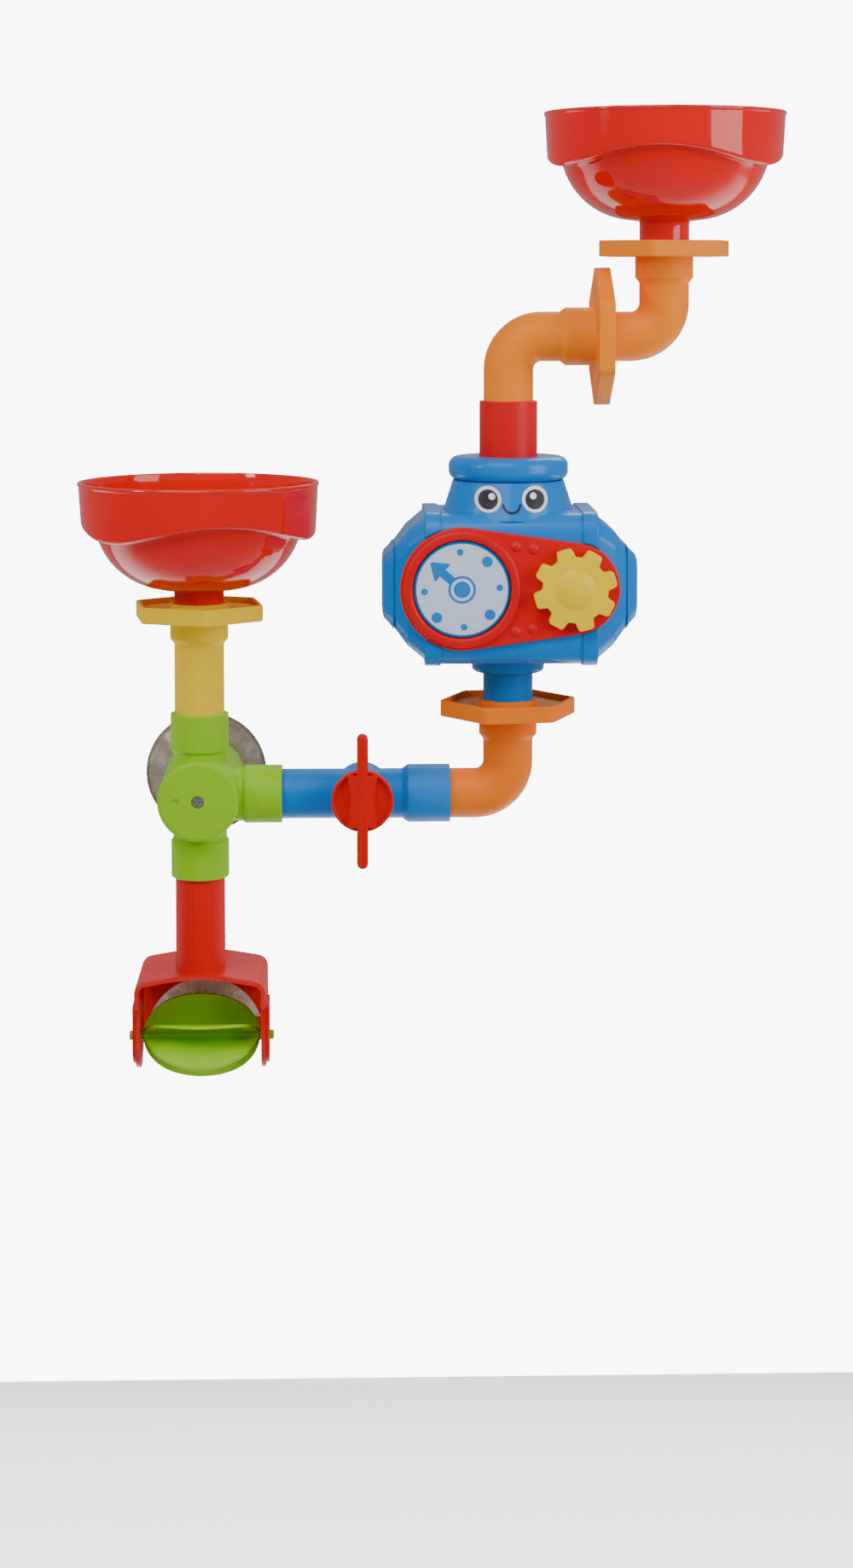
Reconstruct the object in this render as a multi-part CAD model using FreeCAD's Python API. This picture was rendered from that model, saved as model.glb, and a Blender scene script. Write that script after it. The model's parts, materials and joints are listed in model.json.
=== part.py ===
import FreeCAD, Part
import math
import os
from FreeCAD import Placement, Rotation, Vector

# Wall-mounted water-play pipe set. Millimetres. X is right, Y goes into the wall, Z is up.
# The wall is y = 0 and the origin is the centre of the tee's suction cup on the wall.

# ---- Pipe system -------------------------------------------------------------------------
pipe_y = -61.0            # every pipe axis lies this far in front of the wall
pipe_radius = 12.2
pipe_wall = 2.0
bend_inside = 4.0         # radius of the inner side of an elbow's bend
turn_clearance = 0.08     # radial gap in a push fit, so that it can be turned by hand
end_gap = 0.1             # axial gap where a turning spigot meets its shoulder
socket_wall = 1.95
socket_depth = 16.0
socket_lead = 2.8         # length of the cone between a socket and its pipe
soft_edge = 0.7           # rounding on moulded outer edges

pipe_bore = pipe_radius - pipe_wall
bend_radius = pipe_radius + bend_inside
socket_bore = pipe_radius + turn_clearance
socket_radius = socket_bore + socket_wall

# ---- Hexagonal flanges -------------------------------------------------------------------
flange_across_corners = 68.5
flange_corner = 4.0
flange_thickness = 8.0
flange_rim = 1.9
flange_recess = 2.8

# ---- Tee ---------------------------------------------------------------------------------
drum_radius = 19.8
drum_front = pipe_y - 22.0
drum_split = pipe_y + 21.0    # joint between the tee and its base
drum_wall = 2.2
drum_edge = 2.2
tee_reach = 40.5          # centre of the tee to each socket mouth
tee_socket_length = 18.0
tee_neck_radius = pipe_radius + 1.0
tee_neck_lead = 1.2       # length of the step from the neck to the socket
tee_post_radius = 4.4
tee_plug_depth = 3.0
tee_plug_clearance = 0.1
screw_radius = 1.5
screw_head_radius = 2.9
screw_head_height = 1.8
screw_sink = 1.2          # depth of a screw head below its surface
screw_clearance = 0.2
screw_slot_width = 0.7
screw_slot_depth = 0.9
screw_slot_reach = 3.8
tee_screw_length = 46.0
dimple_radius = 1.6
dimple_offset = 10.5
dimple_depth = 0.5

# ---- Suction cups ------------------------------------------------------------------------
cup_radius = 31.0
cup_rim_width = 2.6
cup_rim_height = 1.2
cup_height = 9.0          # wall to the cup's shoulder
cup_hollow = 5.2
cup_shoulder_radius = 9.0
cup_stem_radius = 5.2
cup_stem_length = 3.0
cup_head_radius = 7.2
cup_head_length = 3.6
cup_boss_radius = 11.5

# ---- Yellow pipe and funnels -------------------------------------------------------------
yellow_flange_top = tee_reach + 54.3
yellow_socket_length = 17.5
yellow_flange_turn = -21.0
left_insert = socket_depth    # how far each funnel's neck is pushed in
right_insert = 13.0
left_funnel_turn = 14.0
right_funnel_turn = -8.0
funnel_wall = 1.8
funnel_neck_round = 1.0
funnel_neck = 22.5
funnel_height = 53.0      # bottom of the bowl to the rim
bowl_foot = 42.5          # corner between the bowl's floor and its side
bowl_foot_rise = 3.2
bowl_foot_round = 29.0
bowl_radius = 51.3
band_radius = 57.4
rim_radius = 58.4
band_floor = 25.6         # height of the band's lower edge where it is lowest
wave_rise = 8.8           # how far that edge climbs between its three low points
wave_count = 3
band_round = 2.2
rim_lip = 0.6
rim_lip_height = 1.8

# ---- Valve pipe --------------------------------------------------------------------------
valve_x = tee_reach + 39.3
valve_mouth = valve_x + 43.0
valve_socket_length = 20.6
plug_radius = pipe_bore + 0.9
valve_boss_radius = plug_radius + 2.3
valve_boss_back = pipe_y + pipe_radius + 0.8
valve_boss_front = pipe_y - pipe_radius - 2.8
plug_clearance = 0.06
plug_floor = 2.0
plug_port = 8.4
plug_front_gap = 0.3
stem_radius = 4.0
stem_flat = 3.0
stem_cover = 1.2          # handle material left in front of the stem
seal_groove = 1.2
seal_setback = 1.6
valve_cap_thickness = 2.0
handle_gap = 0.4
handle_radius = 15.1
handle_base = 2.4
handle_rim = 1.4
handle_rim_height = 4.2
handle_block_height = 5.6
handle_block_waist = 5.5
handle_block_end = 7.4
handle_block_inset = 1.5  # block ends stop this far inside the rim
handle_block_hollow = 40.0
handle_wing_width = 5.5
handle_wing_length = 66.0
handle_wing_height = 6.6
handle_wing_lift = 1.0    # the wings' backs clear the pipe by this much more than the disc
handle_wing_round = 1.4

# ---- Elbows ------------------------------------------------------------------------------
low_reach = 46.8          # corner of the axes to the flange's face
low_socket_length = 17.0
low_flange_turn = 7.5
mid_reach = 49.8
mid_socket_length = 22.0
mid_flange_turn = 0.0
top_reach = 46.8
top_socket_length = 18.0
top_flange_turn = 14.5

# ---- Pump body ---------------------------------------------------------------------------
body_x = valve_mouth + 28.7
body_z = low_reach + 57.2
body_wall = 2.2
# barrel sections: distance from the middle, half height, half depth, corner radius
barrel_end = (61.9, 12.4, 16.6, 6.0)
barrel_edge = (61.2, 14.6, 19.0, 6.8)
barrel_heel = (58.6, 17.0, 21.3, 7.5)
barrel_flank = (50.0, 27.8, 29.0, 9.0)
barrel_shoulder = (41.5, 34.6, 33.4, 10.0)
barrel_middle = (40.0, 36.5, 34.5, 10.0)
hoop_rise = 0.8
hoop_corner = 10.4
hoop_round = 0.6
hoop_inner = 34.0
hoop_outer = 41.6
end_hoop_inner = 56.4
cone_foot_z = body_z + 33.0
cone_foot_radius = 33.0
cone_height = 18.0
cone_top_z = cone_foot_z + cone_height
cone_top_radius = 27.2
neck_plate = 2.2
neck_plate_radius = 24.5
ring_radius = 29.3
ring_height = 11.6
ring_round = 4.6
ring_clearance = 0.05
sleeve_flange_radius = socket_radius + 3.8
sleeve_flange = 2.0
sleeve_bottom = cone_top_z - 7.0
sleeve_top = cone_top_z + 38.6
collar_neck_radius = pipe_radius + 1.4
collar_radius = collar_neck_radius + 4.8
collar_height = 7.0
collar_round = 2.4
collar_lip_radius = collar_neck_radius + 2.9
collar_lip = 2.0

upper_axis_z = sleeve_top + 31.4      # the two upper elbows' level axis
right_axis_x = body_x + mid_reach + 26.3

# ---- Face panel, dial and gear knob -------------------------------------------------------
panel_z = body_z + 1.0
dial_x = body_x - 24.1
knob_x = body_x + 29.8
panel_dial_radius = 29.6
panel_knob_radius = 22.0
panel_thickness = 2.5
panel_edge = 1.0
panel_recess_gap = 0.3
pad_inset = 1.4
bead_inner = 23.5
bead_outer = 28.2
bead_height = 2.2
bead_round = 1.7
rivet_radius = 2.6
rivet_height = 1.3
rivet_first = (25.8, 20.4)
rivet_second = (34.1, 19.3)
peg_radius = 1.5
peg_length = 4.0
dial_radius = 23.1
dial_thickness = 2.6
dial_gap = 0.3
dial_shaft_seat = 1.8     # how far the shaft enters the dial
label_radius = 21.9
label_thickness = 0.3
print_thickness = 0.12
dot_ring = 18.0
small_dot = 1.55
large_dot = 2.55
dot_turn = 3.0
arrow_turn = 139.0
arrow_tip = 20.4
arrow_neck = 12.4
arrow_half_width = 6.2
arrow_shaft_half = 2.05
hub_disc = 3.95
hub_gap = 5.5
hub_ring = 6.6

knob_thickness = 5.2
knob_gap = 0.6
knob_tip = 19.9
knob_root = 15.2
knob_teeth = 8
knob_tooth_half_root = 4.4
knob_tooth_half_tip = 3.7
knob_tip_round = 1.7
knob_root_round = 1.2
knob_turn = 16.0
knob_dome_radius = 9.7
knob_dome_height = 2.6
knob_shaft_cover = 1.0    # knob material left in front of its shaft
knob_shaft_hole_gap = 0.4

shaft_radius = 2.5
shaft_flat = 1.9
shaft_clearance = 0.06
shaft_boss_radius = 5.0
gear_teeth = 27
pressure_angle = 20.0
gear_backlash = 0.25
gear_front = pipe_y - 18.0
gear_thickness = 4.5
gear_side_gap = 0.4
wheel_front = gear_front + gear_thickness + 0.5
wheel_back = pipe_y + 23.0
wheel_radius = 21.5
wheel_hub_radius = 5.0
wheel_blade = 1.6
wheel_blades = 8
shaft_end_gap = 0.4
blind_floor = 3.0         # body material left behind a shaft's end
knob_shaft_back = pipe_y + 11.0
knob_shaft_slack = 1.0
rear_boss_front = wheel_back + 0.5
body_screw_boss = 2.9
body_screw_well_wall = 1.6
body_screw_head_y = pipe_y + 12.0     # heads sunk in posts inside the rear shell
body_screw_spots = ((-44.6, 26.6), (-44.6, -24.6), (21.8, 32.2), (21.8, -30.2))
body_screw_length = 22.0

# ---- Printed face ------------------------------------------------------------------------
eye_offset = 11.3
eye_z = cone_top_z - 7.6
eye_radius = 6.35
pupil_radius = 4.7
glint_radius = 1.65
left_glint = (1.8, 1.4)
right_glint = (-0.9, 1.6)
smile_radius = 4.1
smile_width = 1.0
smile_z = cone_top_z - 9.8
face_layer = 0.22

# ---- Spout yoke and splash wheel ---------------------------------------------------------
hood_front = pipe_y - pipe_radius - 2.3
hood_back = pipe_y + 39.5
hood_wall = 2.2
hood_half_width = 32.0
hood_crown_z = -tee_reach - 45.0
hood_shoulder_z = hood_crown_z - 5.5
hood_side_z = hood_crown_z - 18.5
hood_round = 6.0
hood_crown_round = 90.0
axle_y = pipe_y + 6.0
axle_z = hood_crown_z - 36.5
arch_radius = 29.6
arch_z = axle_z - 9.0
bar_top = axle_z
bar_bottom = bar_top - 25.0
bar_round = 5.0
bar_foot_half = 14.0
bar_shoulder = 8.0
ear_radius = 15.5
ear_boss_radius = 11.5
ear_boss_drop = 2.0
ear_boss = 1.6
ear_boss_top = hood_side_z - 0.5
ear_overlap = 4.0         # how far the ears run up into the hood's sides
axle_radius = 2.3
axle_clearance = 0.08
axle_proud = 2.2
yoke_cup_z = axle_z - 3.0
splash_half_width = 28.6
splash_radius = 21.6
splash_blades = 6
splash_blade = 1.5
splash_curl = 26.0
splash_hub_radius = 3.6
splash_turn = 24.0
splash_outline_gap = 0.4

RIGHT = Vector(1, 0, 0)
BACK = Vector(0, 1, 0)
UP = Vector(0, 0, 1)


far = 1200.0              # wider than the whole object
over = 1.0                # how far a cutting shape runs past the face it cuts
tight_end = 0.98          # share of a half width that rounds its end almost fully


# ---- Drawing helpers -----------------------------------------------------------------------
def rounded_corner(before, here, after, radius):
    """Start, middle and end of the arc that rounds the corner at here."""
    back = (before - here).normalize()
    onward = (after - here).normalize()
    half = back.getAngle(onward) / 2
    start = here + back * (radius / math.tan(half))
    end = here + onward * (radius / math.tan(half))
    inward = (back + onward).normalize()
    middle = here + inward * (radius / math.sin(half) - radius)
    return start, middle, end


def flat_face(corners, lift):
    """Face inside a closed outline of (u, v) corners; a third value on a corner rounds it."""
    points = [Vector(c[0], c[1], 0) for c in corners]
    pieces = []
    for i, corner in enumerate(corners):
        if len(corner) == 3:
            after = points[(i + 1) % len(points)]
            pieces.append(rounded_corner(points[i - 1], points[i], after, corner[2]))
        else:
            pieces.append((points[i],))
    edges = []
    for i, piece in enumerate(pieces):
        lifted = [lift(p.x, p.y) for p in piece]
        if len(lifted) == 3:
            edges.append(Part.Arc(*lifted).toShape())
        following = pieces[(i + 1) % len(pieces)][0]
        target = lift(following.x, following.y)
        if lifted[-1].distanceToPoint(target) > 1e-6:
            edges.append(Part.makeLine(lifted[-1], target))
    return Part.Face(Part.Wire(edges))


def prism(corners, along, start, end):
    """Outline in the other two axes, in XYZ order, carried along one axis."""
    lifts = {
        "x": lambda u, v: Vector(start, u, v),
        "y": lambda u, v: Vector(u, start, v),
        "z": lambda u, v: Vector(u, v, start),
    }
    way = {"x": RIGHT, "y": BACK, "z": UP}[along]
    return flat_face(corners, lifts[along]).extrude(way * (end - start))


def turned(corners, base=Vector(0, 0, 0), way=UP):
    """Solid of revolution: (radius, height) corners turned about way through base."""
    solid = flat_face(corners, lambda r, h: Vector(r, 0, h)).revolve(Vector(), UP, 360)
    solid.Placement = Placement(base, Rotation(UP, way))
    return solid


def rod(radius, start, end):
    """Round bar from start to end."""
    way = end - start
    return Part.makeCylinder(radius, way.Length, start, way)


def rod_y(radius, x, z, front, back):
    """Round bar along Y."""
    return rod(radius, Vector(x, front, z), Vector(x, back, z))


def rod_z(radius, x, low, high):
    """Round bar along Z on the pipes' plane."""
    return rod(radius, Vector(x, pipe_y, low), Vector(x, pipe_y, high))


def flatted_rod(radius, flat, x, z, front, back):
    """Bar along Y with a flat on its top, which keeps what it carries from slipping."""
    bar = rod_y(radius, x, z, front, back)
    side = 4 * radius
    off = Part.makeBox(side, abs(back - front), side, Vector(x - side / 2, min(front, back), z + flat))
    return bar.cut(off)


def fused(shapes):
    return shapes[0].multiFuse(shapes[1:]).removeSplitter()


def half_space(front, back):
    """Slab of space between two Y planes, wider than the whole object."""
    return Part.makeBox(far, back - front, far, Vector(-far / 2, front, -far / 2))


def hexagon(across_corners, turn, corner_round):
    corners = []
    for i in range(6):
        angle = math.radians(60 * i + turn)
        reach = across_corners / 2
        corners.append((reach * math.cos(angle), reach * math.sin(angle), corner_round))
    return corners


# ---- Pipes, flanges and elbows -------------------------------------------------------------
def flange(top, turn):
    """Hexagonal tray flange on the Z axis with its open side up at top."""
    bottom = top - flange_thickness
    plate = prism(hexagon(flange_across_corners, turn, flange_corner), "z", bottom, top)
    rims = [e for e in plate.Edges if abs(e.BoundBox.ZLength) < 1e-6]
    plate = plate.makeFillet(soft_edge, rims)
    inside = flange_across_corners - 2 * flange_rim / math.cos(math.radians(30))
    tray = prism(hexagon(inside, turn, flange_corner - 1), "z", top - flange_recess, top + 1)
    tray = tray.cut(rod(socket_radius, Vector(0, 0, bottom), Vector(0, 0, top + 2)))
    return plate.cut(tray)


def socket_outside(mouth, length):
    """Outside of a socket on the Z axis, its mouth up, with the cone down to the pipe."""
    foot = mouth - length
    corners = [
        (0, foot - socket_lead),
        (pipe_radius, foot - socket_lead),
        (socket_radius, foot),
        (socket_radius, mouth),
        (0, mouth),
    ]
    return turned(corners)


def socket_inside(mouth, depth, pipe_end):
    """Bore of a socket on the Z axis and of the pipe that leads down from it."""
    corners = [
        (0, pipe_end),
        (pipe_bore, pipe_end),
        (pipe_bore, mouth - depth),
        (socket_bore, mouth - depth),
        (socket_bore, mouth + 1),
        (0, mouth + 1),
    ]
    return turned(corners)


def quarter_bend(radius):
    """Quarter turn of round bar from +Z down to -X."""
    disc = Part.Face(Part.Wire(Part.makeCircle(radius, Vector(0, 0, bend_radius), UP)))
    return disc.revolve(Vector(-bend_radius, 0, bend_radius), BACK, 90)


def elbow(reach, socket_length, spigot_reach, flange_turn):
    """Elbow about its own corner: flanged socket up, spigot towards -X."""
    outside = fused([
        quarter_bend(pipe_radius),
        rod(pipe_radius, Vector(0, 0, bend_radius), Vector(0, 0, reach - socket_length)),
        socket_outside(reach, socket_length),
        flange(reach, flange_turn),
        rod(pipe_radius, Vector(-bend_radius, 0, 0), Vector(-spigot_reach, 0, 0)),
    ])
    for inside in (
        quarter_bend(pipe_bore),
        socket_inside(reach, socket_depth, bend_radius),
        rod(pipe_bore, Vector(-bend_radius, 0, 0), Vector(-spigot_reach - 1, 0, 0)),
    ):
        outside = outside.cut(inside)
    return outside


def low_elbow():
    spigot_reach = body_x - (valve_mouth - socket_depth)
    shape = elbow(low_reach, low_socket_length, spigot_reach, low_flange_turn)
    shape.translate(Vector(body_x, pipe_y, 0))
    return shape


def mid_elbow():
    spigot_reach = upper_axis_z - (sleeve_top - socket_depth) - end_gap
    shape = elbow(mid_reach, mid_socket_length, spigot_reach, mid_flange_turn)
    shape.rotate(Vector(), BACK, 90)
    shape.rotate(Vector(), RIGHT, 180)
    shape.translate(Vector(body_x, pipe_y, upper_axis_z))
    return shape


def top_elbow():
    seat = body_x + mid_reach - socket_depth + end_gap
    shape = elbow(top_reach, top_socket_length, right_axis_x - seat, top_flange_turn)
    shape.translate(Vector(right_axis_x, pipe_y, upper_axis_z))
    return shape


def yellow_pipe():
    foot = tee_reach - socket_depth + end_gap
    outside = fused([
        rod(pipe_radius, Vector(0, 0, foot), Vector(0, 0, yellow_flange_top - yellow_socket_length)),
        socket_outside(yellow_flange_top, yellow_socket_length),
        flange(yellow_flange_top, yellow_flange_turn),
    ])
    shape = outside.cut(socket_inside(yellow_flange_top, left_insert, foot - 1))
    shape.translate(Vector(0, pipe_y, 0))
    return shape


# ---- Funnels -------------------------------------------------------------------------------
def bowl(inset):
    """Solid of the funnel's neck and bowl, drawn in by inset."""
    base = funnel_neck
    neck = pipe_bore if inset else pipe_radius
    peak = base + band_floor + wave_rise + 2 * over
    return turned([
        (0, -inset),
        (neck, -inset),
        (neck, base + inset, funnel_neck_round),
        (bowl_foot - inset * 0.6, base + bowl_foot_rise + inset, bowl_foot_round),
        (bowl_radius - inset, peak),
        (0, peak),
    ])


def band(inset, top):
    """Solid of the funnel's upper band, its lower edge climbing in waves between low points."""
    floor = funnel_neck + band_floor + inset
    ring = turned([
        (0, floor),
        (band_radius - inset, floor, band_round - inset if inset else band_round),
        (rim_radius - inset, top),
        (0, top),
    ])
    half_chord = band_radius * math.sin(math.pi / wave_count)
    scoop_radius = (half_chord ** 2 + wave_rise ** 2) / (2 * wave_rise)
    for i in range(wave_count):
        angle = 2 * math.pi * i / wave_count - math.pi / 2
        out = Vector(math.cos(angle), math.sin(angle), 0) * (rim_radius + 5)
        axis_foot = Vector(0, 0, floor + wave_rise - scoop_radius)
        ring = ring.cut(rod(scoop_radius, axis_foot, axis_foot + out))
    return ring


def funnel(x, rim_foot, insert, turn):
    """Funnel whose neck is pushed insert deep into a socket with its mouth at rim_foot."""
    rim = funnel_neck + funnel_height
    outside = fused([bowl(0), band(0, rim)])
    lip = turned([
        (rim_radius - funnel_wall, rim - rim_lip_height),
        (rim_radius, rim - rim_lip_height - rim_lip),
        (rim_radius + rim_lip, rim - rim_lip_height),
        (rim_radius + rim_lip, rim, rim_lip * 0.8),
        (rim_radius - funnel_wall, rim),
    ])
    outside = outside.fuse(lip)
    inside = fused([bowl(funnel_wall), band(funnel_wall, rim + 1)])
    shape = outside.cut(inside).removeSplitter()
    shape.rotate(Vector(), UP, turn)
    shape.translate(Vector(x, pipe_y, rim_foot - insert))
    return shape


# ---- Suction cups --------------------------------------------------------------------------
def cup_plug(x, z):
    """Stem and head of a suction cup, which snap into the boss in front of it."""
    return turned([
        (0, cup_height),
        (cup_stem_radius, cup_height),
        (cup_stem_radius, cup_height + cup_stem_length),
        (cup_head_radius, cup_height + cup_stem_length, 0.8),
        (cup_head_radius - 1, cup_height + cup_stem_length + cup_head_length),
        (0, cup_height + cup_stem_length + cup_head_length),
    ], Vector(x, 0, z), -BACK)


def suction_cup(x, z):
    """Soft cup whose flat rim lies on the wall."""
    dish = turned([
        (cup_radius - cup_rim_width, 0),
        (cup_radius, 0),
        (cup_radius, cup_rim_height, 0.5),
        (cup_radius * 0.68, cup_height - 1.4, 14),
        (cup_shoulder_radius, cup_height, 1.5),
        (0, cup_height),
        (0, cup_hollow),
        (cup_radius * 0.52, cup_hollow - 0.9, 12),
    ], Vector(x, 0, z), -BACK)
    return fused([dish, cup_plug(x, z)])


# ---- Tee -----------------------------------------------------------------------------------
def tee_socket(way):
    """Outside of one tee socket: a neck, then the socket, on the given axis."""
    foot = tee_reach - tee_socket_length
    return turned([
        (0, 0),
        (tee_neck_radius, 0),
        (tee_neck_radius, foot - tee_neck_lead, 0.8),
        (socket_radius, foot, 0.5),
        (socket_radius, tee_reach, soft_edge),
        (0, tee_reach),
    ], Vector(0, pipe_y, 0), way)


def tee_body():
    """Front of the tee: drum with three sockets, open at the back where it is closed by its base."""
    drum = turned([
        (0, 0),
        (drum_radius, 0),
        (drum_radius, drum_split - drum_front, drum_edge),
        (0, drum_split - drum_front),
    ], Vector(0, drum_split, 0), -BACK)
    sockets = [tee_socket(way) for way in (UP, RIGHT, -UP)]
    shape = fused([drum] + sockets)
    shape = shape.cut(rod_y(drum_radius - drum_wall, 0, 0, drum_front + drum_wall, drum_split + 1))
    for way in (UP, RIGHT, -UP):
        centre = Vector(0, pipe_y, 0)
        shape = shape.cut(rod(pipe_bore, centre, centre + way * tee_reach))
        mouth = centre + way * (tee_reach + 1)
        shape = shape.cut(rod(socket_bore, centre + way * (tee_reach - socket_depth), mouth))
    post = rod_y(tee_post_radius, 0, 0, drum_front + drum_wall / 2, drum_split - tee_plug_depth)
    shape = shape.fuse(post)
    head_seat = drum_front + screw_sink + screw_head_height
    shape = shape.cut(rod_y(screw_head_radius + screw_clearance, 0, 0, drum_front - 1, head_seat))
    shape = shape.cut(rod_y(screw_radius + screw_clearance, 0, 0, drum_front, drum_split))
    return shape.cut(rod_y(dimple_radius, -dimple_offset, 0, drum_front - 1, drum_front + dimple_depth))


def tee_base():
    """Back of the drum, which closes the tee and carries its suction cup."""
    closing = drum_split - tee_plug_depth
    shell = rod_y(drum_radius, 0, 0, drum_split, -cup_height)
    shell = shell.cut(rod_y(drum_radius - drum_wall, 0, 0, drum_split, -cup_height - drum_wall))
    plug = rod_y(drum_radius - drum_wall - tee_plug_clearance, 0, 0, closing, drum_split + drum_wall)
    core = rod_y(cup_boss_radius, 0, 0, drum_split, -cup_height)
    shape = fused([shell, plug, core])
    shape = shape.cut(cup_plug(0, 0))
    return shape.cut(rod_y(screw_radius, 0, 0, closing - 1, drum_front + screw_sink + tee_screw_length))


def screw(x, z, head_front, length, way):
    """Countersunk-size pan screw along Y with a cross slot; way is +1 when it points at the wall."""
    head = rod_y(screw_head_radius, x, z, head_front, head_front + way * screw_head_height)
    shank = rod_y(screw_radius, x, z, head_front, head_front + way * length)
    shape = head.fuse(shank)
    slot_front = min(head_front, head_front + way * screw_slot_depth)
    for size_x, size_z in ((screw_slot_reach, screw_slot_width), (screw_slot_width, screw_slot_reach)):
        corner = Vector(x - size_x / 2, slot_front, z - size_z / 2)
        shape = shape.cut(Part.makeBox(size_x, screw_slot_depth, size_z, corner))
    return shape.removeSplitter()


# ---- Valve ---------------------------------------------------------------------------------
def valve_pipe():
    foot = tee_reach - socket_depth
    outside = [
        rod(pipe_radius, Vector(0, 0, foot), Vector(0, 0, valve_mouth - valve_socket_length)),
        socket_outside(valve_mouth, valve_socket_length),
    ]
    inside = socket_inside(valve_mouth, socket_depth, foot - 1)
    shape = fused(outside)
    for piece in (shape, inside):
        piece.rotate(Vector(), BACK, 90)
        piece.translate(Vector(0, pipe_y, 0))
    boss = rod_y(valve_boss_radius, valve_x, 0, valve_boss_front, valve_boss_back)
    shape = shape.fuse(boss).cut(inside)
    pocket_back = valve_boss_back - plug_floor
    return shape.cut(rod_y(plug_radius + plug_clearance, valve_x, 0, valve_boss_front - 1, pocket_back))


def valve_plug():
    """Rotary plug, its port across the pipe when shut, with a flatted stem for the handle."""
    back = valve_boss_back - plug_floor - plug_front_gap
    front = valve_boss_front + plug_front_gap
    barrel = rod_y(plug_radius, valve_x, 0, front, back)
    centre = Vector(valve_x, pipe_y, 0)
    barrel = barrel.cut(rod(plug_port, centre - UP * plug_radius, centre + UP * plug_radius))
    stem_front = valve_boss_front - valve_cap_thickness - handle_gap - handle_block_height + stem_cover
    stem = flatted_rod(stem_radius, stem_flat, valve_x, 0, stem_front, front)
    return barrel.fuse(stem).cut(seal_ring())


def seal_ring():
    front = valve_boss_front + plug_front_gap + seal_setback
    outer = rod_y(plug_radius, valve_x, 0, front, front + seal_groove)
    return outer.cut(rod_y(plug_radius - seal_groove, valve_x, 0, front - 1, front + seal_groove + 1))


def valve_cap():
    """Cover that keeps the plug in its pocket."""
    front = valve_boss_front - valve_cap_thickness
    disc = turned([
        (0, 0),
        (valve_boss_radius, 0),
        (valve_boss_radius, valve_cap_thickness, soft_edge),
        (0, valve_cap_thickness),
    ], Vector(valve_x, valve_boss_front, 0), -BACK)
    return disc.cut(rod_y(stem_radius + plug_clearance, valve_x, 0, front - 1, valve_boss_front + 1))


def valve_handle():
    """Round knob with a waisted grip block and two wings, shown across the pipe."""
    back = valve_boss_front - valve_cap_thickness - handle_gap
    centre = Vector(valve_x, back, 0)
    disc = turned([
        (0, 0),
        (handle_radius, 0, soft_edge),
        (handle_radius, handle_rim_height, 0.6),
        (handle_radius - handle_rim, handle_rim_height, 0.5),
        (handle_radius - handle_rim, handle_base),
        (0, handle_base),
    ], centre, -BACK)
    half = handle_radius - handle_rim / 2
    end = half - handle_block_inset
    block = prism([
        (valve_x - handle_block_end, end, 1.0),
        (valve_x + handle_block_end, end, 1.0),
        (valve_x + handle_block_waist, 0, handle_block_hollow),
        (valve_x + handle_block_end, -end, 1.0),
        (valve_x - handle_block_end, -end, 1.0),
        (valve_x - handle_block_waist, 0, handle_block_hollow),
    ], "y", back - handle_block_height, back)
    block = block.common(rod_y(half, valve_x, 0, back - handle_block_height, back))
    grip = handle_wing_width / 2
    tip = handle_wing_length / 2
    wing = prism([
        (valve_x - grip, -tip, grip * tight_end),
        (valve_x + grip, -tip, grip * tight_end),
        (valve_x + grip, tip, grip * tight_end),
        (valve_x - grip, tip, grip * tight_end),
    ], "y", back - handle_wing_height, back - handle_wing_lift)
    rims = [e for e in wing.Edges if abs(e.BoundBox.YLength) < 1e-6]
    wing = wing.makeFillet(handle_wing_round, rims)
    shape = fused([disc, block, wing])
    stem_front = back - handle_block_height + stem_cover
    return shape.cut(flatted_rod(stem_radius, stem_flat, valve_x, 0, stem_front, back + 1))


# ---- Pump body -----------------------------------------------------------------------------
def barrel_section(station, side, inset):
    """Rounded rectangle across the barrel at one station."""
    off, half_height, half_depth, corner = station
    if off > barrel_heel[0]:
        off -= inset
    x = body_x + side * off
    h = half_height - inset
    d = half_depth - inset
    r = max(corner - inset, 1.0)
    corners = [
        (pipe_y - d, body_z - h, r),
        (pipe_y + d, body_z - h, r),
        (pipe_y + d, body_z + h, r),
        (pipe_y - d, body_z + h, r),
    ]
    return flat_face(corners, lambda u, v: Vector(x, u, v)).OuterWire


def barrel(inset):
    """Closed barrel lying along X: two tapered ends and a straight middle."""
    stations = [barrel_end, barrel_edge, barrel_heel, barrel_flank, barrel_shoulder, barrel_middle]
    wires = [barrel_section(s, -1, inset) for s in stations]
    wires += [barrel_section(s, 1, inset) for s in reversed(stations)]
    return Part.makeLoft(wires, True, True)


def hoops():
    """Raised bands round the barrel: one on each side of the middle and one at each end."""
    bands = []
    middle = (0, barrel_middle[1] + hoop_rise, barrel_middle[2] + hoop_rise, hoop_corner)
    for side in (-1, 1):
        inner = body_x + side * hoop_inner
        outer = body_x + side * hoop_outer
        wire = barrel_section(middle, 1, 0)
        face = Part.Face(wire)
        face.translate(RIGHT * (inner - body_x))
        hoop = face.extrude(RIGHT * (outer - inner))
        rims = [e for e in hoop.Edges if abs(e.BoundBox.XLength) < 1e-6]
        bands.append(hoop.makeFillet(hoop_round, rims))
        ends = (barrel_end, barrel_edge, barrel_heel)
        grown = [(s[0], s[1] + hoop_rise, s[2] + hoop_rise, s[3]) for s in ends]
        share = (barrel_heel[0] - end_hoop_inner) / (barrel_heel[0] - barrel_flank[0])
        height = barrel_heel[1] + share * (barrel_flank[1] - barrel_heel[1]) + hoop_rise
        depth = barrel_heel[2] + share * (barrel_flank[2] - barrel_heel[2]) + hoop_rise
        grown.append((end_hoop_inner, height, depth, barrel_heel[3]))
        bands.append(Part.makeLoft([barrel_section(s, side, 0) for s in grown], True, True))
    return bands


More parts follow.
